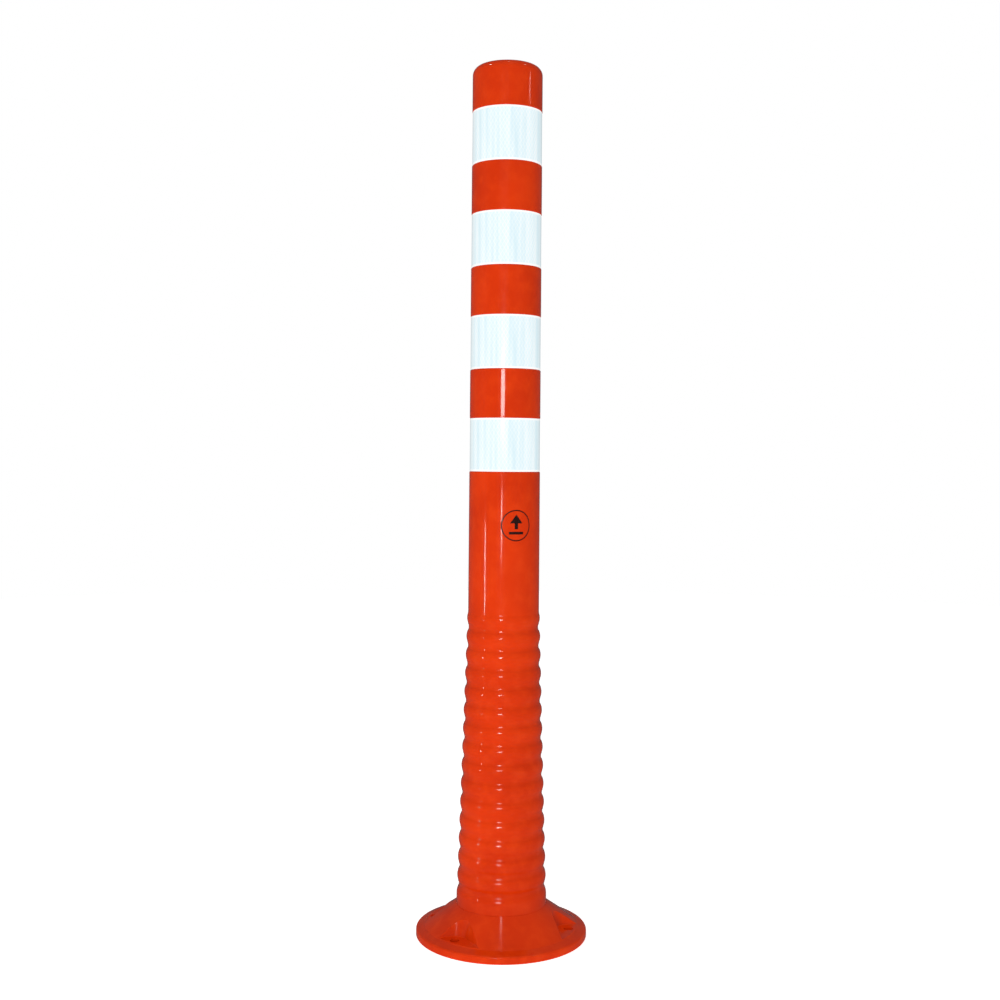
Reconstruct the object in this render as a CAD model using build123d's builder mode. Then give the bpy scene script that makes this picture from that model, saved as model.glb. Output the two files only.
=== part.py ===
"""Flexible delineator post.

One hollow polyurethane moulding, closed at the top and open below: a round foot with four
bolt pockets, a stack of sixteen soft ribs, and a slightly tapered tube with four recesses
for retroreflective tape. The ribs are what bends, so the moulding is divided at its grooves:
each rib and each groove between two ribs is a solid of its own.

The origin is the centre of the foot's underside, +Z is up, and the front faces -Y.
"""

import os
from math import acos, atan, cos, radians, sin, sqrt, tan

from build123d import *

os.makedirs("parts", exist_ok=True)

# ---- driving dimensions, in millimetres and degrees ----

# Tube
post_height = 1000.0
tube_top_dia = 80.0
tube_low_dia = 82.0
tube_wall = 4.5
top_wall = 6.0
top_round = 10.5

# Ribbed zone, counted from the foot upwards
rib_count = 16
rib_pitch = 21.4
first_rib_z = 48.5
first_rib_dia = 104.4
top_rib_stand = 1.1
groove_depth = 2.3
groove_height = 8.0
groove_wall = 3.6

# Foot
foot_dia = 198.0
foot_rim_height = 8.6
foot_rim_width = 10.0
rim_rise = 3.4
rim_top_round = 2.6
rim_low_round = 1.6
neck_z = 37.5
cone_start_dia = 105.6

# Bolt pockets, one in each quarter of the foot
pocket_floor_z = 13.0
pocket_neck_gap = 3.0
pocket_side_draft = 8.0
pocket_back_y = 29.0
pocket_wall_draft = 14.0
pocket_corner_round = 14.0
pocket_floor_round = 1.0
pocket_edge_round = 0.8
bolt_hole_dia = 11.0
bolt_side_gap = 12.8
bolt_back_gap = 13.0

# Retroreflective tape, counted from the top downwards
band_count = 4
band_height = 61.0
band_pitch = 116.3
first_band_drop = 51.7
recess_depth = 0.9
tape_thickness = 0.5
tape_end_gap = 0.25
tape_seam_gap = 0.8

# Searches for edges allow this much, and cuts run this far past the foot
edge_tolerance = 0.05
cut_margin = 20.0

# ---- worked out from them ----

last_rib_z = first_rib_z + (rib_count - 1) * rib_pitch
last_rib_dia = tube_low_dia + 2 * top_rib_stand
rib_height = rib_pitch - groove_height
crest_taper = (first_rib_dia - last_rib_dia) / 2 / (last_rib_z - first_rib_z)

# Each rib is a convex arc and each groove a concave one, and they meet on one tangent.
wave_angle = 2 * atan(2 * groove_depth / rib_pitch)
rib_radius = rib_height / 2 / sin(wave_angle)
groove_radius = groove_height / 2 / sin(wave_angle)

foot_radius = foot_dia / 2
neck_radius = first_rib_dia / 2
rim_inner_radius = foot_radius - foot_rim_width
rim_face_z = foot_rim_height + rim_rise
pocket_side_x = neck_radius + pocket_neck_gap
bolt_x = pocket_side_x + bolt_side_gap
bolt_y = pocket_back_y + bolt_back_gap


def rib_z(number):
    """Height of a rib's crest; the lowest rib is number 1."""
    return first_rib_z + (number - 1) * rib_pitch


def crest_r(z):
    """Radius of the tapered line that all crests touch."""
    return first_rib_dia / 2 - (z - first_rib_z) * crest_taper


def rib_r(number, z):
    """Outer radius on a rib, at a height within half a rib of its crest."""
    return crest_r(z) - rib_radius + sqrt(rib_radius**2 - (z - rib_z(number)) ** 2)


def bore_r(z):
    """Inner radius of the moulding from its open bottom to the last groove."""
    return crest_r(z) - groove_depth - groove_wall


# Where the tube leaves the top rib: down its convex arc, then out on a groove's arc.
shoulder_angle = acos(1 - top_rib_stand / (rib_radius + groove_radius))
tube_start_z = last_rib_z + (rib_radius + groove_radius) * sin(shoulder_angle)
tube_end_z = post_height - top_round
tube_bottom_z = last_rib_z - rib_height / 2


def tube_r(z):
    """Outer radius of the plain tube, which narrows a little to the top."""
    share = (z - tube_start_z) / (tube_end_z - tube_start_z)
    return tube_low_dia / 2 + share * (tube_top_dia - tube_low_dia) / 2


def ring_section(outer_points, low_z, high_z):
    """A wall section bounded outside by an arc through three points and inside by the bore."""
    with BuildSketch(Plane.XZ) as section:
        with BuildLine():
            ThreePointArc(*outer_points)
            Polyline(outer_points[2], (bore_r(high_z), high_z), (bore_r(low_z), low_z), outer_points[0])
        make_face()
    return section


def make_rib(number):
    """One rib's ring, from the groove below it to the groove above."""
    low_z = rib_z(number) - rib_height / 2
    high_z = rib_z(number) + rib_height / 2
    outer = [(rib_r(number, z), z) for z in (low_z, rib_z(number), high_z)]
    with BuildPart() as rib:
        add(ring_section(outer, low_z, high_z).sketch)
        revolve(axis=Axis.Z)
    return rib


def make_groove(number):
    """The thinner ring between rib `number` and the next one up."""
    low_z = rib_z(number) + rib_height / 2
    high_z = rib_z(number + 1) - rib_height / 2
    middle_z = (low_z + high_z) / 2
    outer = [
        (rib_r(number, low_z), low_z),
        (crest_r(middle_z) - groove_depth, middle_z),
        (rib_r(number + 1, high_z), high_z),
    ]
    with BuildPart() as groove:
        add(ring_section(outer, low_z, high_z).sketch)
        revolve(axis=Axis.Z)
    return groove


def is_outermost(edge):
    """Whether a circle is as wide as the foot."""
    return edge.radius > foot_radius - edge_tolerance


def is_pocket_floor_edge(edge):
    """Whether an edge is where a pocket's wall meets its floor."""
    box = edge.bounding_box()
    level = max(abs(box.min.Z - pocket_floor_z), abs(box.max.Z - pocket_floor_z)) < edge_tolerance
    return level and (edge.geom_type == GeomType.LINE or edge.radius <= pocket_corner_round)


def is_pocket_top_edge(edge):
    """Whether an edge is where a pocket's wall meets the cone or the rim's sloping face."""
    middle = edge @ 0.5
    r = Vector(middle.X, middle.Y).length
    cone_share = (r - cone_start_dia / 2) / (rim_inner_radius - cone_start_dia / 2)
    rim_share = (r - rim_inner_radius) / foot_rim_width
    if r < rim_inner_radius:
        face_z = neck_z - cone_share * (neck_z - rim_face_z)
    else:
        face_z = rim_face_z - rim_share * rim_rise
    is_round_or_straight = edge.geom_type in (GeomType.CIRCLE, GeomType.LINE)
    is_above_floor = middle.Z > pocket_floor_z + 2 * edge_tolerance
    return not is_round_or_straight and is_above_floor and abs(middle.Z - face_z) < edge_tolerance


def save(piece, name):
    """Label a finished piece and write its STEP file."""
    piece.part.label = name
    export_step(piece.part, f"parts/{name}.step")


# ---- foot: flange, cone, neck and the lowest rib ----

neck_top_z = first_rib_z + rib_height / 2

with BuildPart() as foot_flange:
    with BuildSketch(Plane.XZ):
        with BuildLine():
            Polyline(
                (neck_radius, first_rib_z),
                (neck_radius, neck_z),
                (cone_start_dia / 2, neck_z),
                (rim_inner_radius, rim_face_z),
                (foot_radius, foot_rim_height),
                (foot_radius, 0),
                (bore_r(0), 0),
                (bore_r(neck_top_z), neck_top_z),
                (rib_r(1, neck_top_z), neck_top_z),
            )
            quarter_z = (first_rib_z + neck_top_z) / 2
            ThreePointArc(
                (rib_r(1, neck_top_z), neck_top_z),
                (rib_r(1, quarter_z), quarter_z),
                (neck_radius, first_rib_z),
            )
        make_face()
    revolve(axis=Axis.Z)
    rim_edges = foot_flange.edges().filter_by(lambda e: e.geom_type == GeomType.CIRCLE and is_outermost(e))
    fillet(rim_edges.group_by(Axis.Z)[-1], rim_top_round)
    rim_edges = foot_flange.edges().filter_by(lambda e: e.geom_type == GeomType.CIRCLE and is_outermost(e))
    fillet(rim_edges.group_by(Axis.Z)[0], rim_low_round)

    # Each pocket's side runs straight to the front or back, and its back wall straight to the side.
    reach = foot_radius + cut_margin
    side_at_reach = pocket_side_x - (reach - pocket_back_y) * tan(radians(pocket_side_draft))
    for right in (1, -1):
        for front in (-1, 1):
            with BuildSketch(Plane.XY.offset(pocket_floor_z)) as pocket:
                with BuildLine():
                    Polyline(
                        (right * pocket_side_x, front * pocket_back_y),
                        (right * side_at_reach, front * reach),
                        (right * reach, front * reach),
                        (right * reach, front * pocket_back_y),
                        close=True,
                    )
                make_face()
                fillet(pocket.vertices().sort_by_distance((0, 0, pocket_floor_z))[0], pocket_corner_round)
            extrude(amount=neck_z, taper=-pocket_wall_draft, mode=Mode.SUBTRACT)
    fillet(foot_flange.edges().filter_by(is_pocket_floor_edge), pocket_floor_round)
    fillet(foot_flange.edges().filter_by(is_pocket_top_edge), pocket_edge_round)

    with Locations((0, 0, pocket_floor_z)):
        with GridLocations(2 * bolt_x, 2 * bolt_y, 2, 2):
            Hole(bolt_hole_dia / 2, depth=pocket_floor_z)

save(foot_flange, "foot_flange")

# ---- ribs and grooves ----

for number in range(2, rib_count):
    save(make_rib(number), f"rib_{number:02d}")

for number in range(1, rib_count):
    save(make_groove(number), f"groove_{number:02d}")

# ---- tube with the top rib, the tape recesses and the closed top ----

band_tops = [post_height - first_band_drop - index * band_pitch for index in range(band_count)]
crest_end_z = last_rib_z + rib_radius * sin(shoulder_angle)
crest_end_r = last_rib_dia / 2 - rib_radius * (1 - cos(shoulder_angle))
half_angle = shoulder_angle / 2
flare_mid_z = tube_start_z - groove_radius * sin(half_angle)
flare_mid_r = tube_low_dia / 2 + groove_radius * (1 - cos(half_angle))
diagonal = top_round * sin(radians(45))
inner_top_z = post_height - top_wall
inner_round = top_round - tube_wall
inner_top_r = tube_r(inner_top_z) - tube_wall

with BuildPart() as upper_tube:
    with BuildSketch(Plane.XZ):
        with BuildLine():
            ThreePointArc(
                (rib_r(rib_count, tube_bottom_z), tube_bottom_z),
                (rib_r(rib_count, last_rib_z - rib_height / 4), last_rib_z - rib_height / 4),
                (last_rib_dia / 2, last_rib_z),
            )
            middle_z = (last_rib_z + crest_end_z) / 2
            middle_r = last_rib_dia / 2 - rib_radius * (1 - cos(half_angle))
            ThreePointArc((last_rib_dia / 2, last_rib_z), (middle_r, middle_z), (crest_end_r, crest_end_z))
            ThreePointArc(
                (crest_end_r, crest_end_z), (flare_mid_r, flare_mid_z), (tube_low_dia / 2, tube_start_z)
            )
            here = (tube_low_dia / 2, tube_start_z)
            for top_z in reversed(band_tops):
                low_z = top_z - band_height
                lead_in = (tube_r(low_z - recess_depth), low_z - recess_depth)
                Line(here, lead_in)
                soft = recess_depth * sin(radians(45))
                ThreePointArc(
                    lead_in,
                    (tube_r(low_z) - recess_depth + soft, low_z - recess_depth + soft),
                    (tube_r(low_z) - recess_depth, low_z),
                )
                Line((tube_r(low_z) - recess_depth, low_z), (tube_r(top_z) - recess_depth, top_z))
                here = (tube_r(top_z + recess_depth), top_z + recess_depth)
                ThreePointArc(
                    (tube_r(top_z) - recess_depth, top_z),
                    (tube_r(top_z) - recess_depth + soft, top_z + recess_depth - soft),
                    here,
                )
            Line(here, (tube_top_dia / 2, tube_end_z))
            ThreePointArc(
                (tube_top_dia / 2, tube_end_z),
                (tube_top_dia / 2 - top_round + diagonal, tube_end_z + diagonal),
                (tube_top_dia / 2 - top_round, post_height),
            )
            Polyline(
                (tube_top_dia / 2 - top_round, post_height),
                (0, post_height),
                (0, inner_top_z),
                (inner_top_r - inner_round, inner_top_z),
                (inner_top_r, inner_top_z - inner_round),
                (bore_r(tube_bottom_z), tube_bottom_z),
                (rib_r(rib_count, tube_bottom_z), tube_bottom_z),
            )
        make_face()
    revolve(axis=Axis.Z)

save(upper_tube, "upper_tube")

# ---- retroreflective tape: a strip wrapped round each recess, its ends meeting at the back ----

for index, top_z in enumerate(band_tops, start=1):
    high_z = top_z - tape_end_gap
    low_z = top_z - band_height + tape_end_gap
    high_r = tube_r(high_z) - recess_depth
    low_r = tube_r(low_z) - recess_depth
    with BuildPart() as reflective_band:
        with BuildSketch(Plane.XZ):
            with BuildLine():
                Polyline(
                    (low_r, low_z),
                    (low_r + tape_thickness, low_z),
                    (high_r + tape_thickness, high_z),
                    (high_r, high_z),
                    close=True,
                )
            make_face()
        revolve(axis=Axis.Z)
        with Locations((0, low_r, top_z - band_height / 2)):
            Box(tape_seam_gap, 4 * tape_thickness, 2 * band_height, mode=Mode.SUBTRACT)
    save(reflective_band, f"reflective_band_{index}")
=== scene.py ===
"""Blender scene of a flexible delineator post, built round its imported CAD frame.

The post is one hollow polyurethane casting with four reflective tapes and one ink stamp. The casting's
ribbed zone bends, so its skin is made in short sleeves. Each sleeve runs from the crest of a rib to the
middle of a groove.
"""

import logging
import math
from dataclasses import dataclass, field
from enum import Enum

import bmesh
import bpy
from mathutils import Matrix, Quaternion, Vector


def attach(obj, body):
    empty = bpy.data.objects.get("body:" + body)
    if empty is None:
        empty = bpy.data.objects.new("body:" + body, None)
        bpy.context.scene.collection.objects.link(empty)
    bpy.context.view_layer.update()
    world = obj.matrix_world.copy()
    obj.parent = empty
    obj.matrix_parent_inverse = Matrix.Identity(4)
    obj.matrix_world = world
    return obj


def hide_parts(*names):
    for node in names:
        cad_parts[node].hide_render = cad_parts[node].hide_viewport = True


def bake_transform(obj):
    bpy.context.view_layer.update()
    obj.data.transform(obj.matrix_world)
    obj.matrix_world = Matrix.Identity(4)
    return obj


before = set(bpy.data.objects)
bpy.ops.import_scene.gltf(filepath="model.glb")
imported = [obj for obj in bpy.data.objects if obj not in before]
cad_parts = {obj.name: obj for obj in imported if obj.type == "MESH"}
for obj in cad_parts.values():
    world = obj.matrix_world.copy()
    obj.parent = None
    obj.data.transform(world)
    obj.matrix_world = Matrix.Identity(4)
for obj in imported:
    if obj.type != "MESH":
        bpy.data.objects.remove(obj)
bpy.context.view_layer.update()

LOG = logging.getLogger("delineator_post")
MM = 0.001
PLACE = "place_mm"  # vector attribute: where a point lies at rest, in millimetres, for the finishes
WHITE = (1.0, 1.0, 1.0, 1.0)


# ---------------------------------------------------------------- helpers


def to_linear(hex_colour: str) -> tuple[float, float, float, float]:
    """Turn an sRGB hex colour into the linear colour that a shader socket takes.

    Args:
        hex_colour: The colour as "#RRGGBB".

    Returns:
        Linear red, green, blue and an alpha of 1.
    """
    channels = [int(hex_colour[i : i + 2], 16) / 255 for i in (1, 3, 5)]
    linear = [c / 12.92 if c <= 0.04045 else ((c + 0.055) / 1.055) ** 2.4 for c in channels]
    return (*linear, 1.0)


def add_node(
    tree: bpy.types.NodeTree,
    kind: str,
    settings: dict[str | int, object] | None = None,
    links: dict[str | int, bpy.types.NodeSocket] | None = None,
) -> bpy.types.Node:
    """Add one shader node with its settings and links.

    Args:
        tree: The node tree that takes it.
        kind: The node's type after "ShaderNode", such as "TexNoise".
        settings: Values by name: a property of the node, or else an input socket's name or number.
        links: The output socket that feeds each input, by the input's name or number.

    Returns:
        The new node.
    """
    node = tree.nodes.new(f"ShaderNode{kind}")
    for name, value in (settings or {}).items():
        if name in node.bl_rna.properties.keys():
            setattr(node, name, value)
        else:
            node.inputs[name].default_value = value
    for name, source in (links or {}).items():
        tree.links.new(source, node.inputs[name])
    return node


def new_material(name: str) -> bpy.types.Material:
    """Make a material with an empty node tree."""
    material = bpy.data.materials.new(name)
    material.use_nodes = True
    material.node_tree.nodes.clear()
    return material


def keep_place(mesh: bpy.types.Mesh, places: list[tuple[float, float, float]] | None = None) -> None:
    """Store where each point lies, so that a finish stays put while the piece bends.

    Args:
        mesh: The mesh, in metres.
        places: A place in millimetres for each vertex, or None to keep its own coordinates.
    """
    if places is None:
        places = [tuple(vertex.co / MM) for vertex in mesh.vertices]
    attribute = mesh.attributes.new(PLACE, "FLOAT_VECTOR", "POINT")
    attribute.data.foreach_set("vector", [value for place in places for value in place])


def new_piece(
    name: str, mesh: bpy.types.Mesh, material: bpy.types.Material
) -> bpy.types.Object:
    """Put a finished mesh in the scene as a piece with one material.

    Args:
        name: The piece's name.
        mesh: Its mesh, in metres, in the frame's own coordinates.
        material: Its finish.

    Returns:
        The new object.
    """
    piece = bpy.data.objects.new(name, mesh)
    bpy.context.scene.collection.objects.link(piece)
    mesh.materials.append(material)
    LOG.info("%s: %d faces", name, len(mesh.polygons))
    return piece


# ---------------------------------------------------------------- turned shapes


@dataclass(frozen=True)
class ProfilePoint:
    """One point of a turned profile, in millimetres, with the direction that its surface faces."""

    r: float
    z: float
    facing: tuple[float, float]

    def turned_facing(self, cosine: float, sine: float) -> tuple[float, float, float]:
        """The unit direction that the surface faces once the profile is turned by an angle."""
        length = math.hypot(*self.facing)
        out, up = self.facing[0] / length, self.facing[1] / length
        return out * cosine, out * sine, up


def arc(
    centre: tuple[float, float], radius: float, start: float, end: float, steps: int, hollow: bool = False
) -> list[ProfilePoint]:
    """Points along a circular arc of a profile.

    Args:
        centre: The arc's centre as (r, z), in millimetres.
        radius: Its radius in millimetres.
        start: The angle of its first point in degrees, 0 pointing outwards and 90 up.
        end: The angle of its last point in degrees.
        steps: How many steps it has.
        hollow: Whether the surface faces the arc's centre.

    Returns:
        The points in order.
    """
    points = []
    side = -1 if hollow else 1
    for step in range(steps + 1):
        angle = math.radians(start + (end - start) * step / steps)
        out, up = math.cos(angle), math.sin(angle)
        r, z = centre[0] + radius * out, centre[1] + radius * up
        points.append(ProfilePoint(r, z, (side * out, side * up)))
    return points


def straight(start: tuple[float, float], end: tuple[float, float], steps: int) -> list[ProfilePoint]:
    """Points along a straight run whose surface faces to the right of the way it goes up.

    Args:
        start: Its first point as (r, z), in millimetres.
        end: Its last point.
        steps: How many steps it has.

    Returns:
        The points in order.
    """
    run, rise = end[0] - start[0], end[1] - start[1]
    shares = [step / steps for step in range(steps + 1)]
    return [ProfilePoint(start[0] + run * s, start[1] + rise * s, (rise, -run)) for s in shares]


def turned_mesh(name: str, runs: list[list[ProfilePoint]], segments: int) -> bpy.types.Mesh:
    """Turn a closed profile about Z, smooth within each run and with an edge between runs.

    Args:
        name: The mesh's name.
        runs: Runs of points, up the outside and then down the inside. A point on the axis closes the surface.
        segments: How many steps go round.

    Returns:
        A closed mesh in metres whose normals are those of the profile, so neighbours meet unseen.
    """
    turns = [(math.cos(a), math.sin(a)) for a in (2 * math.pi * k / segments for k in range(segments))]
    points: list[tuple[float, float, float]] = []
    rows: list[tuple[list[int], ProfilePoint, int]] = []
    for number, run in enumerate(runs):
        for point in run:
            on_axis = point.r == 0
            first = len(points)
            for c, s in turns[: 1 if on_axis else segments]:
                points.append((point.r * c * MM, point.r * s * MM, point.z * MM))
            ring = [first] * segments if on_axis else list(range(first, first + segments))
            rows.append((ring, point, number))
    faces: list[tuple[int, ...]] = []
    corners: list[tuple[float, float, float] | None] = []
    for (low, low_point, low_run), (high, high_point, high_run) in zip(rows, rows[1:] + rows[:1]):
        if low_point.r == 0 and high_point.r == 0:
            continue
        for k in range(segments):
            n = (k + 1) % segments
            face = []
            around = ((low, k, low_point), (low, n, low_point), (high, n, high_point), (high, k, high_point))
            for ring, turn, point in around:
                if ring[turn] in face:
                    continue
                face.append(ring[turn])
                corners.append(None if low_run != high_run else point.turned_facing(*turns[turn]))
            faces.append(tuple(face))
    mesh = bpy.data.meshes.new(name)
    mesh.from_pydata(points, [], faces)
    mesh.shade_smooth()
    normals = [
        Vector(corners[loop]) if corners[loop] else polygon.normal
        for polygon in mesh.polygons
        for loop in polygon.loop_indices
    ]
    mesh.normals_split_custom_set(normals)
    keep_place(mesh)
    return mesh


# ---------------------------------------------------------------- finishes


@dataclass(frozen=True)
class CastPolyurethane:
    """Polyurethane elastomer cast in a polished two-part mould.

    The pigment goes right through, so the colour is deep and even with a faint mottle from the pour. The
    polished mould gives a wet gloss, a slight waviness that bends the highlights, a few pinholes from air
    bubbles, and a fine flash line where the halves of the mould met, in the plane of the two sides.
    """

    colour: str = "#DE3805"
    deep_colour: str = "#D03104"
    bright_colour: str = "#E6420A"
    roughness: float = 0.08
    ior: float = 1.5
    mottle_mm: float = 70.0
    cloud_mm: float = 14.0
    wave_mm: float = 60.0
    wave_height_mm: float = 0.1
    grain_mm: float = 0.9
    grain_height_mm: float = 0.004
    pinhole_spacing_mm: float = 12.0
    pinhole_share: float = 0.2
    pinhole_mm: float = 0.9
    pinhole_depth_mm: float = 0.1
    flash_width_mm: float = 0.7
    trimmed_roughness: float = 0.15
    flash_height_mm: float = 0.1

    def relief(
        self, tree: bpy.types.NodeTree, place: bpy.types.NodeSocket
    ) -> tuple[bpy.types.Node, bpy.types.Node]:
        """Add the surface relief: mould waviness, fine grain, pinholes and the flash line.

        Args:
            tree: The material's node tree.
            place: The place at rest, in millimetres.

        Returns:
            The bump node, and the node that is 1 on the flash line.
        """
        wave = add_node(tree, "TexNoise", {"Scale": 1 / self.wave_mm, "Detail": 0.0}, {"Vector": place})
        grain = add_node(tree, "TexNoise", {"Scale": 1 / self.grain_mm, "Detail": 2.0}, {"Vector": place})
        cells = add_node(tree, "TexVoronoi", {"Scale": 1 / self.pinhole_spacing_mm}, {"Vector": place})
        dimple = {"From Max": self.pinhole_mm / 2 / self.pinhole_spacing_mm, "To Min": 1.0, "To Max": 0.0}
        near = add_node(
            tree,
            "MapRange",
            {"interpolation_type": "SMOOTHSTEP", **dimple},
            {"Value": cells.outputs["Distance"]},
        )
        dice = add_node(tree, "SeparateColor", {}, {"Color": cells.outputs["Color"]})
        few = {"operation": "LESS_THAN", 1: self.pinhole_share}
        chosen = add_node(tree, "Math", few, {0: dice.outputs[0]})
        both = {0: near.outputs[0], 1: chosen.outputs[0]}
        pinhole = add_node(tree, "Math", {"operation": "MULTIPLY"}, both)
        axes = add_node(tree, "SeparateXYZ", {}, {"Vector": place})
        beside = add_node(tree, "Math", {"operation": "ABSOLUTE"}, {0: axes.outputs["Y"]})
        ridge = {"From Max": self.flash_width_mm / 2, "To Min": 1.0, "To Max": 0.0}
        flash = add_node(
            tree, "MapRange", {"interpolation_type": "SMOOTHSTEP", **ridge}, {"Value": beside.outputs[0]}
        )
        # Heights are summed in millimetres, and the bump node's distance turns them to metres.
        waviness = {"operation": "MULTIPLY", 1: self.wave_height_mm}
        height = add_node(tree, "Math", waviness, {0: wave.outputs[0]})
        for source, amount in (
            (grain, self.grain_height_mm),
            (pinhole, -self.pinhole_depth_mm),
            (flash, self.flash_height_mm),
        ):
            height = add_node(
                tree,
                "Math",
                {"operation": "MULTIPLY_ADD", 1: amount},
                {0: source.outputs[0], 2: height.outputs[0]},
            )
        bump = add_node(tree, "Bump", {"Strength": 1.0, "Distance": MM}, {"Height": height.outputs[0]})
        return bump, flash

    def material(self) -> bpy.types.Material:
        """Build the material."""
        material = new_material("cast_polyurethane_orange")
        tree = material.node_tree
        place = add_node(tree, "Attribute", {"attribute_name": PLACE}).outputs["Vector"]
        mottle = add_node(tree, "TexNoise", {"Scale": 1 / self.mottle_mm, "Detail": 1.0}, {"Vector": place})
        cloud = add_node(tree, "TexNoise", {"Scale": 1 / self.cloud_mm, "Detail": 3.0}, {"Vector": place})
        # Pigment: a wide mottle between deep and full colour, and a finer cloud towards the bright one.
        wide = add_node(tree, "MapRange", {"From Min": 0.35, "From Max": 0.65}, {"Value": mottle.outputs[0]})
        base = add_node(
            tree,
            "MixRGB",
            {"Color1": to_linear(self.deep_colour), "Color2": to_linear(self.colour)},
            {"Fac": wide.outputs[0]},
        )
        fine = add_node(
            tree, "MapRange", {"From Min": 0.45, "From Max": 0.75, "To Max": 0.5}, {"Value": cloud.outputs[0]}
        )
        colour = add_node(
            tree,
            "MixRGB",
            {"Color2": to_linear(self.bright_colour)},
            {"Fac": fine.outputs[0], "Color1": base.outputs[0]},
        )
        bump, flash = self.relief(tree, place)
        dullest = {"To Min": self.roughness - 0.02, "To Max": self.roughness + 0.03}
        rough = add_node(
            tree, "MapRange", {"From Min": 0.3, "From Max": 0.7, **dullest}, {"Value": cloud.outputs[0]}
        )
        # The flash line was trimmed by hand and isn't polished.
        trimmed = add_node(
            tree,
            "Math",
            {"operation": "MULTIPLY_ADD", 1: self.trimmed_roughness},
            {0: flash.outputs[0], 2: rough.outputs[0]},
        )
        shader = add_node(
            tree,
            "BsdfPrincipled",
            {"IOR": self.ior},
            {"Base Color": colour.outputs[0], "Roughness": trimmed.outputs[0], "Normal": bump.outputs[0]},
        )
        add_node(tree, "OutputMaterial", {}, {"Surface": shader.outputs[0]})
        return material


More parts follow.
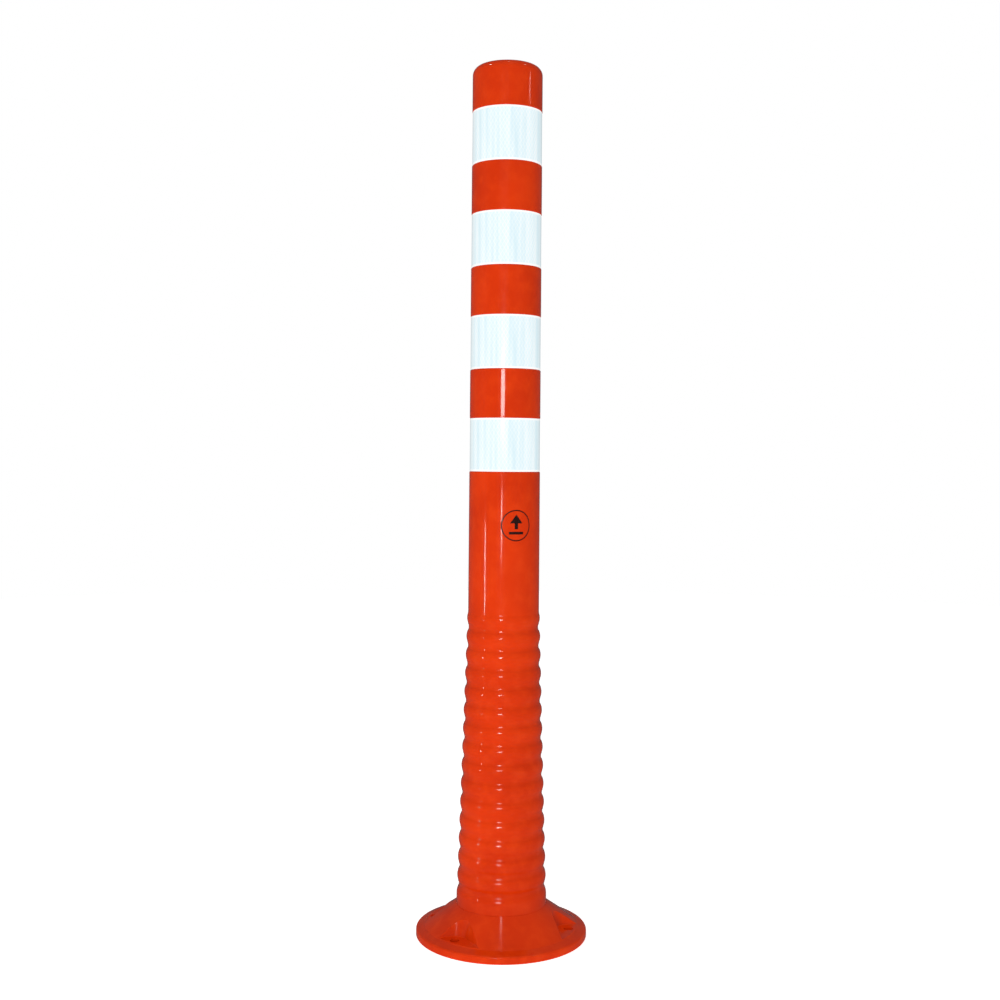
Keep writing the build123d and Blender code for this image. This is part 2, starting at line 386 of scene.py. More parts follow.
@dataclass(frozen=True)
class PrismaticTape:
    """White retroreflective tape: moulded prisms under a clear acrylic film.

    The prisms send light back where it came from, so the tape looks lit from within: a weak painted glow, an
    emission, stands in for that. They show as a fine diamond lattice, cooler in its cells than on its white
    lines, and the film's stretch round the post gives it soft upright streaks. The sealed edge of the tape is
    plain white.
    """

    white: str = "#FCFEFE"
    cool: str = "#E6F4F8"
    streak_colour: str = "#CFE8F0"
    streak_share: float = 0.8
    body_value: float = 0.25
    glow: float = 0.85
    roughness: float = 0.3
    film_roughness: float = 0.08
    ior: float = 1.49
    cell_mm: float = 4.2
    line_mm: float = 0.5
    lean: float = 0.58
    streak_mm: float = 6.0
    streak_height_mm: float = 150.0
    seal_mm: float = 1.6
    relief_mm: float = 0.03

    def lattice(
        self, tree: bpy.types.NodeTree, along: bpy.types.NodeSocket, up: bpy.types.NodeSocket
    ) -> bpy.types.Node:
        """Add the lattice of prism cells: two families of leaning lines.

        Args:
            tree: The material's node tree.
            along: Length along the tape, in millimetres.
            up: Height on the tape.

        Returns:
            A node that is 1 on the lines.
        """
        lines = []
        for lean in (self.lean, -self.lean):
            across = add_node(tree, "Math", {"operation": "MULTIPLY_ADD", 1: lean}, {0: up, 2: along})
            fold = {"operation": "PINGPONG", 1: self.cell_mm / 2}
            wave = add_node(tree, "Math", fold, {0: across.outputs[0]})
            width = {"From Max": self.line_mm, "To Min": 1.0, "To Max": 0.0}
            line = add_node(
                tree, "MapRange", {"interpolation_type": "SMOOTHSTEP", **width}, {"Value": wave.outputs[0]}
            )
            lines.append(line.outputs[0])
        return add_node(tree, "Math", {"operation": "MAXIMUM"}, {0: lines[0], 1: lines[1]})

    def material(self, height_mm: float) -> bpy.types.Material:
        """Build the material.

        Args:
            height_mm: The tape's height. Its place attribute holds the length along it, and then its height.

        Returns:
            The material.
        """
        material = new_material("prismatic_tape_white")
        tree = material.node_tree
        place = add_node(tree, "Attribute", {"attribute_name": PLACE}).outputs["Vector"]
        axes = add_node(tree, "SeparateXYZ", {}, {"Vector": place})
        along, up = axes.outputs["X"], axes.outputs["Y"]
        lines = self.lattice(tree, along, up)
        stretched = add_node(
            tree,
            "VectorMath",
            {"operation": "MULTIPLY", 1: (1 / self.streak_mm, 1 / self.streak_height_mm, 1.0)},
            {0: place},
        )
        grain = {"Scale": 1.0, "Detail": 3.0, "Roughness": 0.6}
        streaks = add_node(tree, "TexNoise", grain, {"Vector": stretched.outputs[0]})
        contrast = {"From Min": 0.42, "From Max": 0.72}
        streak = add_node(tree, "MapRange", contrast, {"Value": streaks.outputs[0]})
        # Sealed edges: plain white near the tape's top and bottom.
        to_top = add_node(tree, "Math", {"operation": "SUBTRACT", 0: height_mm}, {1: up})
        to_edge = add_node(tree, "Math", {"operation": "MINIMUM"}, {0: up, 1: to_top.outputs[0]})
        border = {"From Min": self.seal_mm, "From Max": self.seal_mm + 1.0}
        inside = add_node(
            tree, "MapRange", {"interpolation_type": "SMOOTHSTEP", **border}, {"Value": to_edge.outputs[0]}
        )
        prisms = add_node(tree, "Math", {"operation": "SUBTRACT", 0: 1.0}, {1: lines.outputs[0]})
        cells = add_node(
            tree, "Math", {"operation": "MULTIPLY"}, {0: prisms.outputs[0], 1: inside.outputs[0]}
        )
        base = add_node(
            tree,
            "MixRGB",
            {"Color1": to_linear(self.white), "Color2": to_linear(self.cool)},
            {"Fac": cells.outputs[0]},
        )
        shade = add_node(
            tree, "Math", {"operation": "MULTIPLY"}, {0: streak.outputs[0], 1: inside.outputs[0]}
        )
        share = add_node(tree, "Math", {"operation": "MULTIPLY", 1: self.streak_share}, {0: shade.outputs[0]})
        colour = add_node(
            tree,
            "MixRGB",
            {"Color2": to_linear(self.streak_colour)},
            {"Fac": share.outputs[0], "Color1": base.outputs[0]},
        )
        height = add_node(tree, "Math", {"operation": "MULTIPLY", 1: -self.relief_mm}, {0: cells.outputs[0]})
        bump = add_node(tree, "Bump", {"Strength": 1.0, "Distance": MM}, {"Height": height.outputs[0]})
        rough = add_node(
            tree, "Math", {"operation": "MULTIPLY_ADD", 1: 0.12, 2: self.roughness}, {0: streak.outputs[0]}
        )
        # Light that the prisms don't send back is lost between them, so the body is darker than the glow. The
        # glow is painted light: a weak emission in the tape's own colour stands in for the light that the
        # prisms send back.
        body = add_node(tree, "HueSaturation", {"Value": self.body_value}, {"Color": colour.outputs[0]})
        shader = add_node(
            tree,
            "BsdfPrincipled",
            {
                "IOR": self.ior,
                "Coat Weight": 0.6,
                "Coat Roughness": self.film_roughness,
                "Emission Strength": self.glow,
            },
            {
                "Base Color": body.outputs[0],
                "Emission Color": colour.outputs[0],
                "Roughness": rough.outputs[0],
                "Normal": bump.outputs[0],
            },
        )
        add_node(tree, "OutputMaterial", {}, {"Surface": shader.outputs[0]})
        return material


@dataclass(frozen=True)
class StampInk:
    """Black solvent ink from a rubber stamp: it covers unevenly, so the orange shows brown through it."""

    ink: str = "#1C0B08"
    thin_ink: str = "#5A1608"
    roughness: float = 0.45
    ior: float = 1.45
    blotch_mm: float = 1.6

    def material(self) -> bpy.types.Material:
        """Build the material."""
        material = new_material("stamp_ink_black")
        tree = material.node_tree
        place = add_node(tree, "Attribute", {"attribute_name": PLACE}).outputs["Vector"]
        blotch = add_node(tree, "TexNoise", {"Scale": 1 / self.blotch_mm, "Detail": 4.0}, {"Vector": place})
        thin = add_node(tree, "MapRange", {"From Min": 0.5, "From Max": 0.75}, {"Value": blotch.outputs[0]})
        colour = add_node(
            tree,
            "MixRGB",
            {"Color1": to_linear(self.ink), "Color2": to_linear(self.thin_ink)},
            {"Fac": thin.outputs[0]},
        )
        uneven = {"operation": "MULTIPLY_ADD", 1: 0.2, 2: self.roughness - 0.1}
        rough = add_node(tree, "Math", uneven, {0: blotch.outputs[0]})
        bump = add_node(
            tree, "Bump", {"Strength": 0.4, "Distance": 0.01 * MM}, {"Height": blotch.outputs[0]}
        )
        shader = add_node(
            tree,
            "BsdfPrincipled",
            {"IOR": self.ior},
            {"Base Color": colour.outputs[0], "Roughness": rough.outputs[0], "Normal": bump.outputs[0]},
        )
        add_node(tree, "OutputMaterial", {}, {"Surface": shader.outputs[0]})
        return material


@dataclass(frozen=True)
class PaperSweep:
    """Matt white paper for the floor: its fibres give it a faint tooth and nearly no gloss."""

    white: str = "#F4F3F1"
    shade: str = "#EFEEEC"
    roughness: float = 0.85
    fibre_mm: float = 3.0
    glow: float = 0.72

    def material(self) -> bpy.types.Material:
        """Build the material."""
        material = new_material("paper_sweep_white")
        tree = material.node_tree
        place = add_node(tree, "TexCoord").outputs["Object"]
        weave = {"Scale": 1 / (self.fibre_mm * MM), "Detail": 2.0}
        fibre = add_node(tree, "TexNoise", weave, {"Vector": place})
        colour = add_node(
            tree,
            "MixRGB",
            {"Color1": to_linear(self.white), "Color2": to_linear(self.shade)},
            {"Fac": fibre.outputs[0]},
        )
        bump = add_node(tree, "Bump", {"Strength": 0.2, "Distance": 0.1 * MM}, {"Height": fibre.outputs[0]})
        shader = add_node(
            tree,
            "BsdfPrincipled",
            {
                "Roughness": self.roughness,
                "Specular IOR Level": 0.2,
                "Emission Color": WHITE,
                "Emission Strength": self.glow,
            },
            {"Base Color": colour.outputs[0], "Normal": bump.outputs[0]},
        )
        add_node(tree, "OutputMaterial", {}, {"Surface": shader.outputs[0]})
        return material


# ---------------------------------------------------------------- the casting


@dataclass(frozen=True)
class Moulding:
    """Sizes that the whole casting shares, in millimetres. The bore and the line of the crests are cones."""

    rib_count: int = 16
    rib_pitch: float = 21.4
    first_rib_z: float = 48.5
    first_rib_dia: float = 104.4
    last_rib_dia: float = 84.2
    groove_depth: float = 2.3
    groove_height: float = 8.0
    groove_wall: float = 3.6
    segments: int = 192

    @property
    def last_rib_z(self) -> float:
        """Height of the uppermost crest."""
        return self.rib_z(self.rib_count)

    @property
    def rib_radius(self) -> float:
        """Radius of the arc over a rib's crest."""
        return (self.rib_pitch - self.groove_height) / 2 / math.sin(self.wave_angle)

    @property
    def groove_radius(self) -> float:
        """Radius of the hollow arc in a groove."""
        return self.groove_height / 2 / math.sin(self.wave_angle)

    @property
    def wave_angle(self) -> float:
        """How far the wall leans where a rib's arc meets a groove's, in radians."""
        return 2 * math.atan(2 * self.groove_depth / self.rib_pitch)

    def rib_z(self, number: int) -> float:
        """Height of a crest; the lowest rib is number 1."""
        return self.first_rib_z + (number - 1) * self.rib_pitch

    def groove_z(self, number: int) -> float:
        """Height of the middle of the groove above rib `number`."""
        return self.first_rib_z + (number - 0.5) * self.rib_pitch

    def crest_r(self, z: float) -> float:
        """Radius of the line that touches all crests."""
        share = (z - self.first_rib_z) / (self.rib_z(self.rib_count) - self.first_rib_z)
        return (self.first_rib_dia + share * (self.last_rib_dia - self.first_rib_dia)) / 2

    def bore_r(self, z: float) -> float:
        """Radius of the bore below the plain tube."""
        return self.crest_r(z) - self.groove_depth - self.groove_wall

    def bore(self, high_z: float, low_z: float, steps: int) -> list[ProfilePoint]:
        """The bore's wall from one height down to a lower one, facing the axis."""
        return straight((self.bore_r(high_z), high_z), (self.bore_r(low_z), low_z), steps)


class SleeveHalf(Enum):
    """Which half of a groove a sleeve covers."""

    BELOW = "below"
    ABOVE = "above"


@dataclass
class RibbedZone:
    """The bending zone, as thirty short sleeves that each run from a rib's crest to the middle of a groove.
    """

    moulding: Moulding
    finish: bpy.types.Material
    crest_steps: int = 8
    hollow_steps: int = 6

    def profile(self, number: int, half: SleeveHalf) -> list[ProfilePoint]:
        """The wave of a sleeve's outside, from its lower end to its upper end.

        Args:
            number: The groove's number.
            half: Which half of the groove it covers.

        Returns:
            The points, with the directions that the surface faces.
        """
        m = self.moulding
        rib = m.rib_z(number if half is SleeveHalf.BELOW else number + 1)
        middle = m.groove_z(number)
        lean = math.degrees(m.wave_angle)
        crest_centre = (m.crest_r(rib) - m.rib_radius, rib)
        hollow_centre = (m.crest_r(middle) - m.groove_depth + m.groove_radius, middle)
        if half is SleeveHalf.BELOW:
            crest = arc(crest_centre, m.rib_radius, 0, lean, self.crest_steps)
            hollow = arc(hollow_centre, m.groove_radius, 180 + lean, 180, self.hollow_steps, hollow=True)
            return crest + hollow[1:]
        hollow = arc(hollow_centre, m.groove_radius, 180, 180 - lean, self.hollow_steps, hollow=True)
        crest = arc(crest_centre, m.rib_radius, -lean, 0, self.crest_steps)
        return hollow + crest[1:]

    def sleeve(self, number: int, half: SleeveHalf) -> bpy.types.Object:
        """Build one sleeve.

        Args:
            number: The groove's number.
            half: Which half of the groove it covers.

        Returns:
            The piece.
        """
        m = self.moulding
        outside = self.profile(number, half)
        low_z, high_z = outside[0].z, outside[-1].z
        mesh = turned_mesh(
            f"groove_{number:02d}_{half.value}",
            [outside, m.bore(high_z, low_z, self.crest_steps)],
            m.segments,
        )
        piece = new_piece(mesh.name, mesh, self.finish)
        groove = f"groove_{number:02d}"
        if half is SleeveHalf.BELOW:
            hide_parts(groove)
        else:
            upper = "upper_tube" if number == m.rib_count - 1 else f"rib_{number + 1:02d}"
            if upper != "upper_tube":
                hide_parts(upper)
        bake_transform(piece)
        return piece

    def build(self) -> list[bpy.types.Object]:
        """Build all sleeves from the foot up."""
        numbers = range(1, self.moulding.rib_count)
        return [self.sleeve(number, half) for number in numbers for half in SleeveHalf]


@dataclass
class Foot:
    """The round foot with its bolt pockets, up to the crest of the lowest rib."""

    moulding: Moulding
    finish: bpy.types.Material

    def mesh(self) -> bpy.types.Mesh:
        """Take the foot's own shape and end it at the lowest crest, where the first sleeve starts.

        Returns:
            A closed mesh that keeps the exact normals of the shape.
        """
        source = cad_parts["foot_flange"].data
        mesh = source.copy()
        mesh.name = "foot_moulding"
        mesh.materials.clear()
        normals = [0.0] * (3 * len(mesh.loops))
        mesh.corner_normals.foreach_get("vector", normals)
        shading = mesh.attributes.new("shading", "FLOAT_VECTOR", "CORNER")
        shading.data.foreach_set("vector", normals)
        top = self.moulding.first_rib_z * MM
        shape = bmesh.new()
        shape.from_mesh(mesh)
        bmesh.ops.remove_doubles(shape, verts=shape.verts[:], dist=1e-6)
        everything = shape.verts[:] + shape.edges[:] + shape.faces[:]
        bmesh.ops.bisect_plane(
            shape, geom=everything, dist=1e-7, plane_co=(0, 0, top), plane_no=(0, 0, 1), clear_outer=True
        )
        rim = [edge for edge in shape.edges if edge.is_boundary]
        ring = bmesh.ops.bridge_loops(shape, edges=rim)["faces"]
        layer = shape.loops.layers.float_vector["shading"]
        for face in ring:
            for corner in face.loops:
                corner[layer] = (0, 0, 1)
            if face.normal.z < 0:
                face.normal_flip()
        for face in shape.faces:
            face.smooth = True
        shape.to_mesh(mesh)
        shape.free()
        corners = [Vector(item.vector).normalized() for item in mesh.attributes["shading"].data]
        mesh.normals_split_custom_set(corners)
        mesh.attributes.remove(mesh.attributes["shading"])
        keep_place(mesh)
        return mesh

    def build(self) -> bpy.types.Object:
        """Build the foot."""
        piece = new_piece("foot_moulding", self.mesh(), self.finish)
        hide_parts("foot_flange")
        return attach(piece, "foot")


@dataclass
class Tube:
    """The plain tube above the uppermost crest, with its tape recesses and its closed, rounded top."""

    moulding: Moulding
    finish: bpy.types.Material
    height: float = 1000.0
    low_dia: float = 82.0
    top_dia: float = 80.0
    wall: float = 4.5
    top_wall: float = 6.0
    top_round: float = 10.5
    band_count: int = 4
    band_height: float = 61.0
    band_pitch: float = 116.3
    first_band_drop: float = 51.7
    recess_depth: float = 0.9

    @property
    def shoulder_angle(self) -> float:
        """How far round the top rib's arc the wall turns before it flares into the tube, in radians."""
        m = self.moulding
        stand = (m.last_rib_dia - self.low_dia) / 2
        return math.acos(1 - stand / (m.rib_radius + m.groove_radius))

    @property
    def start_z(self) -> float:
        """Height where the plain tube starts."""
        m = self.moulding
        return m.last_rib_z + (m.rib_radius + m.groove_radius) * math.sin(self.shoulder_angle)

    def tube_r(self, z: float) -> float:
        """Outer radius of the plain tube at a height."""
        share = (z - self.start_z) / (self.height - self.top_round - self.start_z)
        return (self.low_dia + share * (self.top_dia - self.low_dia)) / 2

    def band_tops(self) -> list[float]:
        """Heights of the tapes' upper edges, from the top of the post down."""
        first = self.height - self.first_band_drop
        return [first - index * self.band_pitch for index in range(self.band_count)]

    def outside(self) -> list[list[ProfilePoint]]:
        """The outside from the uppermost crest to the middle of the top, in runs with edges between."""
        m = self.moulding
        lean = math.degrees(self.shoulder_angle)
        crest = arc((m.last_rib_dia / 2 - m.rib_radius, m.last_rib_z), m.rib_radius, 0, lean, 6)
        flare_centre = (self.low_dia / 2 + m.groove_radius, self.start_z)
        flare = arc(flare_centre, m.groove_radius, 180 + lean, 180, 5, hollow=True)
        run = crest + flare[1:]
        runs = []
        depth = self.recess_depth
        for top_z in reversed(self.band_tops()):
            low_z = top_z - self.band_height
            lip_z = low_z - depth
            plain = straight((run[-1].r, run[-1].z), (self.tube_r(lip_z), lip_z), 8)
            lip = arc((self.tube_r(low_z) - depth, lip_z), depth, 0, 90, 5)
            runs.append(run + plain[1:] + lip[1:])
            seat = straight((self.tube_r(low_z) - depth, low_z), (self.tube_r(top_z) - depth, top_z), 6)
            runs.append(seat)
            run = arc((self.tube_r(top_z) - depth, top_z + depth), depth, -90, 0, 5)
        shoulder_z = self.height - self.top_round
        plain = straight((run[-1].r, run[-1].z), (self.top_dia / 2, shoulder_z), 8)
        dome = arc((self.top_dia / 2 - self.top_round, shoulder_z), self.top_round, 0, 90, 14)
        cap = [ProfilePoint(dome[-1].r * share, self.height, (0, 1)) for share in (0.66, 0.33, 0)]
        runs.append(run + plain[1:] + dome[1:] + cap)
        return runs

    def inside(self) -> list[list[ProfilePoint]]:
        """The bore from the underside of the top down to the uppermost crest."""
        m = self.moulding
        top_z = self.height - self.top_wall
        corner = self.top_round - self.wall
        side_r = self.tube_r(top_z) - self.wall
        centre = (side_r - corner, top_z - corner)
        ceiling = [ProfilePoint(centre[0] * share, top_z, (0, -1)) for share in (0, 0.5)]
        turn = arc(centre, corner, 90, 0, 6, hollow=True)
        side = straight((side_r, top_z - corner), (m.bore_r(m.last_rib_z), m.last_rib_z), 12)
        return [ceiling + turn + side[1:]]

    def build(self) -> bpy.types.Object:
        """Build the tube."""
        mesh = turned_mesh("upper_tube_moulding", self.outside() + self.inside(), self.moulding.segments)
        piece = new_piece(mesh.name, mesh, self.finish)
        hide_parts("upper_tube")
        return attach(piece, "upper_tube")


# ---------------------------------------------------------------- tape and stamp


@dataclass
class TapeSet:
    """The four tapes, each a strip wrapped round its recess with its ends meeting at the back."""

    tube: Tube
    thickness: float = 0.5
    end_gap: float = 0.25
    seam_gap: float = 0.8
    edge_round: float = 0.16
    segments: int = 180

    def section(self, top_z: float) -> list[ProfilePoint]:
        """The strip's cross-section at one place, with softly rounded outer edges.

        Args:
            top_z: Height of the recess's upper edge.

        Returns:
            The points once round, from the lower inner corner outwards and up.
        """
        low_z = top_z - self.tube.band_height + self.end_gap
        high_z = top_z - self.end_gap
        depth = self.tube.recess_depth
        low_r = self.tube.tube_r(low_z) - depth
        high_r = self.tube.tube_r(high_z) - depth
        soft = self.edge_round
        low_edge = arc((low_r + self.thickness - soft, low_z + soft), soft, -90, 0, 4)
        high_edge = arc((high_r + self.thickness - soft, high_z - soft), soft, 0, 90, 4)
        middle = straight((low_edge[-1].r, low_edge[-1].z), (high_edge[0].r, high_edge[0].z), 10)
        back = straight((high_r, high_z), (low_r, low_z), 1)
        return low_edge + middle[1:-1] + high_edge + back

    def strip(self, number: int, top_z: float) -> bpy.types.Mesh:
        """Wrap the section round the post, open at the back by the seam's gap.

        Args:
            number: The tape's number from the top.
            top_z: Height of the recess's upper edge.

        Returns:
            A closed mesh whose place attribute holds the length along the tape and the height on it.
        """
        section = self.section(top_z)
        low_z = top_z - self.tube.band_height + self.end_gap
        radius = self.tube.tube_r(top_z - self.tube.band_height / 2)
        half_gap = self.seam_gap / 2 / radius
        # Angles are taken from the front, -Y, and run to the two ends at the back.
        start = half_gap - math.pi
        step = (2 * math.pi - 2 * half_gap) / self.segments
        angles = [start + step * k for k in range(self.segments + 1)]
        points, places = [], []
        for angle in angles:
            for point in section:
                points.append((point.r * math.sin(angle) * MM, -point.r * math.cos(angle) * MM, point.z * MM))
                places.append((angle * radius, point.z - low_z, point.r - radius))
        count = len(section)
        faces = []
        for k in range(self.segments):
            for j in range(count):
                n = (j + 1) % count
                faces.append((k * count + j, (k + 1) * count + j, (k + 1) * count + n, k * count + n))
        faces.append(tuple(range(count)))
        faces.append(tuple(self.segments * count + j for j in reversed(range(count))))
        mesh = bpy.data.meshes.new(f"tape_{number}")
        mesh.from_pydata(points, [], faces)
        mesh.shade_smooth()
        keep_place(mesh, places)
        normals = []
        for polygon in mesh.polygons:
            for vertex in polygon.vertices:
                point = section[vertex % count]
                angle = angles[vertex // count]
                inner = vertex % count >= count - 2
                is_end = len(polygon.vertices) > 4
                length = math.hypot(*point.facing)
                out, up = point.facing[0] / length, point.facing[1] / length
                exact = Vector((out * math.sin(angle), -out * math.cos(angle), up))
                flat_sided = is_end or inner or abs(polygon.normal.dot(exact)) < 0.7
                normals.append(polygon.normal if flat_sided else exact)
        mesh.normals_split_custom_set(normals)
        return mesh

    def build(self) -> list[bpy.types.Object]:
        """Build the four tapes from the top down."""
        finish = PrismaticTape().material(self.tube.band_height - 2 * self.end_gap)
        pieces = []
        for number, top_z in enumerate(self.tube.band_tops(), start=1):
            piece = new_piece(f"tape_{number}", self.strip(number, top_z), finish)
            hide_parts(f"reflective_band_{number}")
            pieces.append(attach(piece, "upper_tube"))
        return pieces


class Mark(Enum):
    """The printed shapes of the stamp."""

    RING = "ring"
    ARROW = "arrow"
    BAR = "bar"


@dataclass
class Stamp:
    """A round ink stamp on the front: a plain ring, an arrow that says which way is up, and a bar."""

    tube: Tube
    centre_z: float = 478.0
    centre_turn: float = 1.9
    diameter: float = 35.5
    line: float = 1.3
    ink: float = 0.03
    sunk: float = 0.05

    def outline(self, mark: Mark) -> list[tuple[tuple[float, float], ...]]:
        """The quadrilaterals that make up one mark, flat, in millimetres from the stamp's centre.

        Args:
            mark: The mark wanted.

        Returns:
            Four corners each, anticlockwise.
        """
        outer = self.diameter / 2
        if mark is Mark.RING:
            inner = outer - self.line
            turns = [2 * math.pi * k / 96 for k in range(97)]
            return [
                (
                    (inner * math.cos(a), inner * math.sin(a)),
                    (outer * math.cos(a), outer * math.sin(a)),
                    (outer * math.cos(b), outer * math.sin(b)),
                    (inner * math.cos(b), inner * math.sin(b)),
                )
                for a, b in zip(turns, turns[1:])
            ]
        if mark is Mark.ARROW:
            shaft = ((-2.0, -4.0), (2.0, -4.0), (2.0, 2.5), (-2.0, 2.5))
            left = ((-7.5, 2.5), (0.0, 2.5), (0.0, 12.0), (-0.3, 12.0))
            right = ((0.0, 2.5), (7.5, 2.5), (0.3, 12.0), (0.0, 12.0))
            return [shaft, left, right]
        return [((-8.5, -10.0), (8.5, -10.0), (8.5, -7.0), (-8.5, -7.0))]

    def wrapped(self, mark: Mark) -> bpy.types.Mesh:
        """Lay one mark on the tube as a thin closed film.

        Args:
            mark: The mark wanted.

        Returns:
            The mesh, whose place attribute holds its flat coordinates.
        """
        shape = bmesh.new()
        for corners in self.outline(mark):
            shape.faces.new([shape.verts.new((x, y, 0)) for x, y in corners])
        bmesh.ops.remove_doubles(shape, verts=shape.verts[:], dist=1e-4)
        film = bmesh.ops.extrude_face_region(shape, geom=shape.faces[:])
        lifted = [item for item in film["geom"] if isinstance(item, bmesh.types.BMVert)]
        bmesh.ops.translate(shape, verts=lifted, vec=(0, 0, 1))
        bmesh.ops.recalc_face_normals(shape, faces=shape.faces[:])
        for step in range(-9, 10):
            geometry = shape.verts[:] + shape.edges[:] + shape.faces[:]
            bmesh.ops.bisect_plane(shape, geom=geometry, plane_co=(step, 0, 0), plane_no=(1, 0, 0))
        places = []
        for vertex in shape.verts:
            x, y, lifted_by = vertex.co
            places.append((x, y, 0.0))
            z = self.centre_z + y
            tube_r = self.tube.tube_r(z)
            r = tube_r + (self.ink if lifted_by > 0.5 else -self.sunk)
            angle = x / tube_r + math.radians(self.centre_turn)
            vertex.co = (r * math.sin(angle) * MM, -r * math.cos(angle) * MM, z * MM)
        mesh = bpy.data.meshes.new(f"stamp_{mark.value}")
        shape.to_mesh(mesh)
        shape.free()
        keep_place(mesh, places)
        return mesh

    def build(self) -> list[bpy.types.Object]:
        """Build the stamp's marks."""
        finish = StampInk().material()
        pieces = []
        for mark in Mark:
            mesh = self.wrapped(mark)
            piece = new_piece(mesh.name, mesh, finish)
            pieces.append(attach(piece, "upper_tube"))
        return pieces


# ---------------------------------------------------------------- studio


@dataclass(frozen=True)
class Lamp:
    """One rectangular studio lamp, placed round the post and aimed at it."""

    name: str
    azimuth: float
    height: float
    distance: float
    width: float
    tall: float
    power: float
    aim_z: float = 0.5
    in_gloss: bool = True


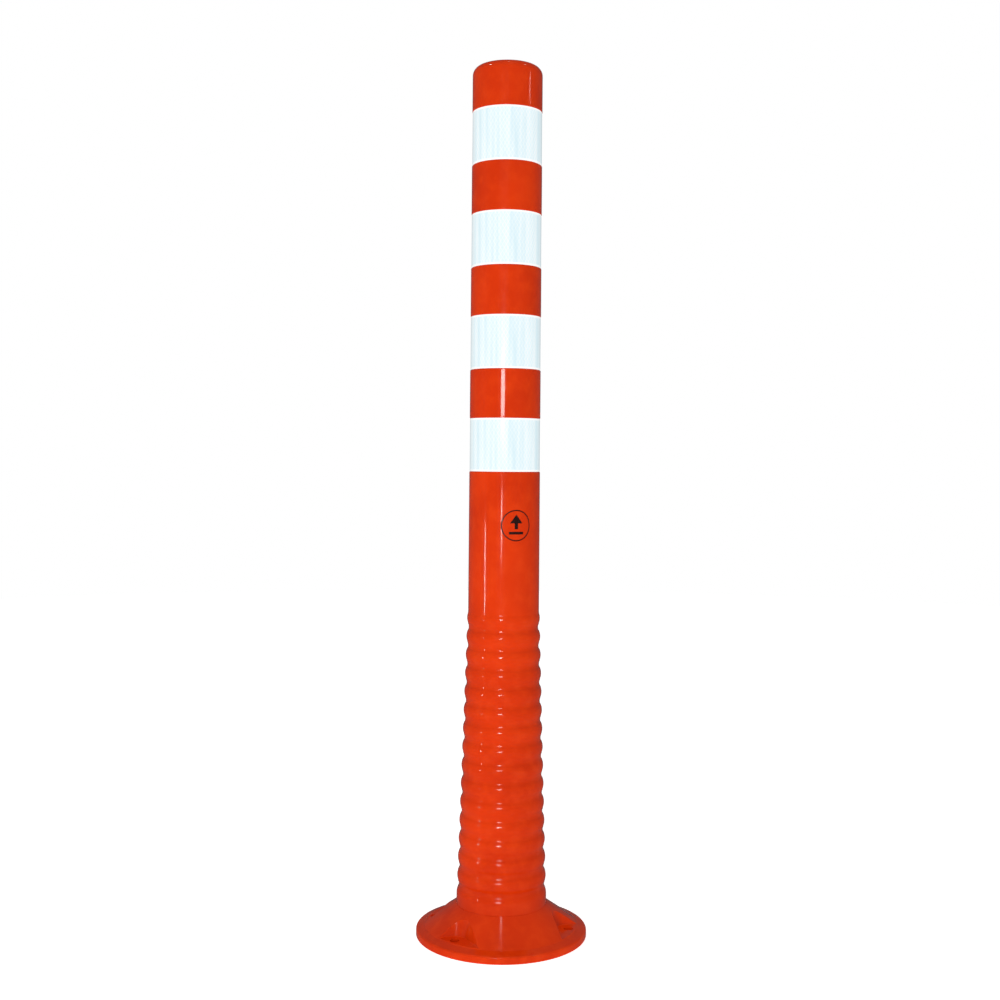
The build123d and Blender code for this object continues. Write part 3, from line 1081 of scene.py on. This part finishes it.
@dataclass
class Studio:
    """Floor, lamps, backdrop and camera. Azimuths are in degrees from the front, positive to the right."""

    camera_place: tuple[float, float, float] = (-0.46523, -1.45858, 0.5539)
    camera_heading: tuple[float, float] = (0.3007, 0.9537)
    camera_tilt: float = 1.81
    camera_roll: float = 0.447
    lens_mm: float = 47.75
    floor_radius: float = 4.0
    diffuse_room: float = 0.1
    gloss_room: float = 0.1
    sun_power: float = 1.1
    lamps: list[Lamp] = field(
        default_factory=lambda: [
            Lamp("key", -27, 0.9, 2.4, 1.2, 1.6, 15.5, in_gloss=False),
            Lamp("fill", 25, 0.8, 2.4, 1.4, 1.6, 2.5, in_gloss=False),
            Lamp("left", -95, 0.7, 2.2, 1.0, 1.6, 5, in_gloss=False),
            Lamp("window", -25.2, 0.85, 4.0, 0.8, 0.3, 11, aim_z=0.2),
            Lamp("flash", -26, 0.42, 1.5, 0.03, 0.12, 0.4),
            Lamp("strip_left", -80.7, 0.3, 1.6, 0.02, 0.2, 0.6),
            Lamp("strip_right", 59.5, 1.41, 1.6, 0.02, 0.05, 0.12),
            Lamp("ceiling_middle", -17.5, 2.6, 0.02, 0.08, 0.08, 0.12),
            Lamp("ceiling_right", 60, 2.6, 1.2, 0.1, 0.1, 2.0),
            Lamp("ceiling_left", -100, 2.6, 1.2, 0.1, 0.1, 2.0),
        ]
    )

    def floor(self) -> bpy.types.Object:
        """A plain pale disc under the post."""
        rings = (0.0, 0.12, 0.3, 1.0, self.floor_radius)
        shape = bmesh.new()
        for inner, outer in zip(rings, rings[1:]):
            turns = [2 * math.pi * k / 64 for k in range(65)]
            for a, b in zip(turns, turns[1:]):
                corners = [(inner, a), (outer, a), (outer, b), (inner, b)]
                shape.faces.new([shape.verts.new((r * math.cos(t), r * math.sin(t), 0)) for r, t in corners])
        bmesh.ops.remove_doubles(shape, verts=shape.verts[:], dist=1e-5)
        bmesh.ops.dissolve_degenerate(shape, edges=shape.edges[:], dist=1e-5)
        mesh = bpy.data.meshes.new("floor")
        shape.to_mesh(mesh)
        shape.free()
        mesh.materials.append(PaperSweep().material())
        floor = bpy.data.objects.new("floor", mesh)
        bpy.context.scene.collection.objects.link(floor)
        floor.visible_glossy = False
        return floor

    def light(self, lamp: Lamp) -> bpy.types.Object:
        """Place one lamp.

        Args:
            lamp: Its sizes and place.

        Returns:
            The light.
        """
        data = bpy.data.lights.new(lamp.name, "AREA")
        data.shape = "RECTANGLE"
        data.size, data.size_y, data.energy = lamp.width, lamp.tall, lamp.power
        light = bpy.data.objects.new(lamp.name, data)
        bpy.context.scene.collection.objects.link(light)
        turn = math.radians(lamp.azimuth)
        place = Vector((math.sin(turn) * lamp.distance, -math.cos(turn) * lamp.distance, lamp.height))
        light.location = place
        aim = Vector((0, 0, lamp.aim_z)) - place
        light.rotation_euler = aim.to_track_quat("-Z", "Y").to_euler()
        light.visible_camera = False
        light.visible_glossy = lamp.in_gloss
        return light

    def sun(self) -> bpy.types.Object:
        """A wide, soft light from high up in front, so that the floor is evenly white."""
        data = bpy.data.lights.new("sun", "SUN")
        data.energy = self.sun_power
        data.angle = math.radians(40)
        sun = bpy.data.objects.new("sun", data)
        bpy.context.scene.collection.objects.link(sun)
        sun.rotation_euler = (math.radians(18), math.radians(-8), 0)
        sun.visible_glossy = False
        return sun

    def backdrop(self) -> None:
        """White behind the post, a soft grey room round it, and a grey of its own in its reflections."""
        world = bpy.data.worlds.new("studio")
        bpy.context.scene.world = world
        world.use_nodes = True
        tree = world.node_tree
        tree.nodes.clear()
        seen = add_node(tree, "Background", {"Color": WHITE, "Strength": 1.0})
        room = add_node(tree, "Background", {"Color": WHITE, "Strength": self.diffuse_room})
        gloss = add_node(tree, "Background", {"Color": WHITE, "Strength": self.gloss_room})
        ray = add_node(tree, "LightPath")
        around = add_node(
            tree, "MixShader", {}, {0: ray.outputs["Is Glossy Ray"], 1: room.outputs[0], 2: gloss.outputs[0]}
        )
        mix = add_node(
            tree, "MixShader", {}, {0: ray.outputs["Is Camera Ray"], 1: around.outputs[0], 2: seen.outputs[0]}
        )
        add_node(tree, "OutputWorld", {}, {"Surface": mix.outputs[0]})

    def camera(self) -> bpy.types.Object:
        """The camera at eye level with the middle of the post."""
        data = bpy.data.cameras.new("camera")
        data.lens = self.lens_mm
        camera = bpy.data.objects.new("camera", data)
        bpy.context.scene.collection.objects.link(camera)
        camera.location = self.camera_place
        tilt = math.radians(self.camera_tilt)
        heading = Vector((*self.camera_heading, 0)).normalized()
        look = heading * math.cos(tilt) - Vector((0, 0, math.sin(tilt)))
        level = look.to_track_quat("-Z", "Y")
        camera.rotation_mode = "QUATERNION"
        camera.rotation_quaternion = level @ Quaternion((0, 0, 1), math.radians(self.camera_roll))
        bpy.context.scene.camera = camera
        return camera

    def build(self) -> None:
        """Set up the whole studio."""
        self.camera()
        self.floor()
        self.backdrop()
        self.sun()
        for lamp in self.lamps:
            self.light(lamp)
        bpy.context.scene.view_settings.view_transform = "Standard"


def main() -> None:
    """Build the studio and every piece of the post, from the foot up."""
    logging.basicConfig(level=logging.INFO, format="%(name)s: %(message)s")
    Studio().build()
    moulding = Moulding()
    casting = CastPolyurethane().material()
    Foot(moulding, casting).build()
    RibbedZone(moulding, casting).build()
    tube = Tube(moulding, casting)
    tube.build()
    TapeSet(tube).build()
    Stamp(tube).build()


if __name__ == "__main__":
    main()
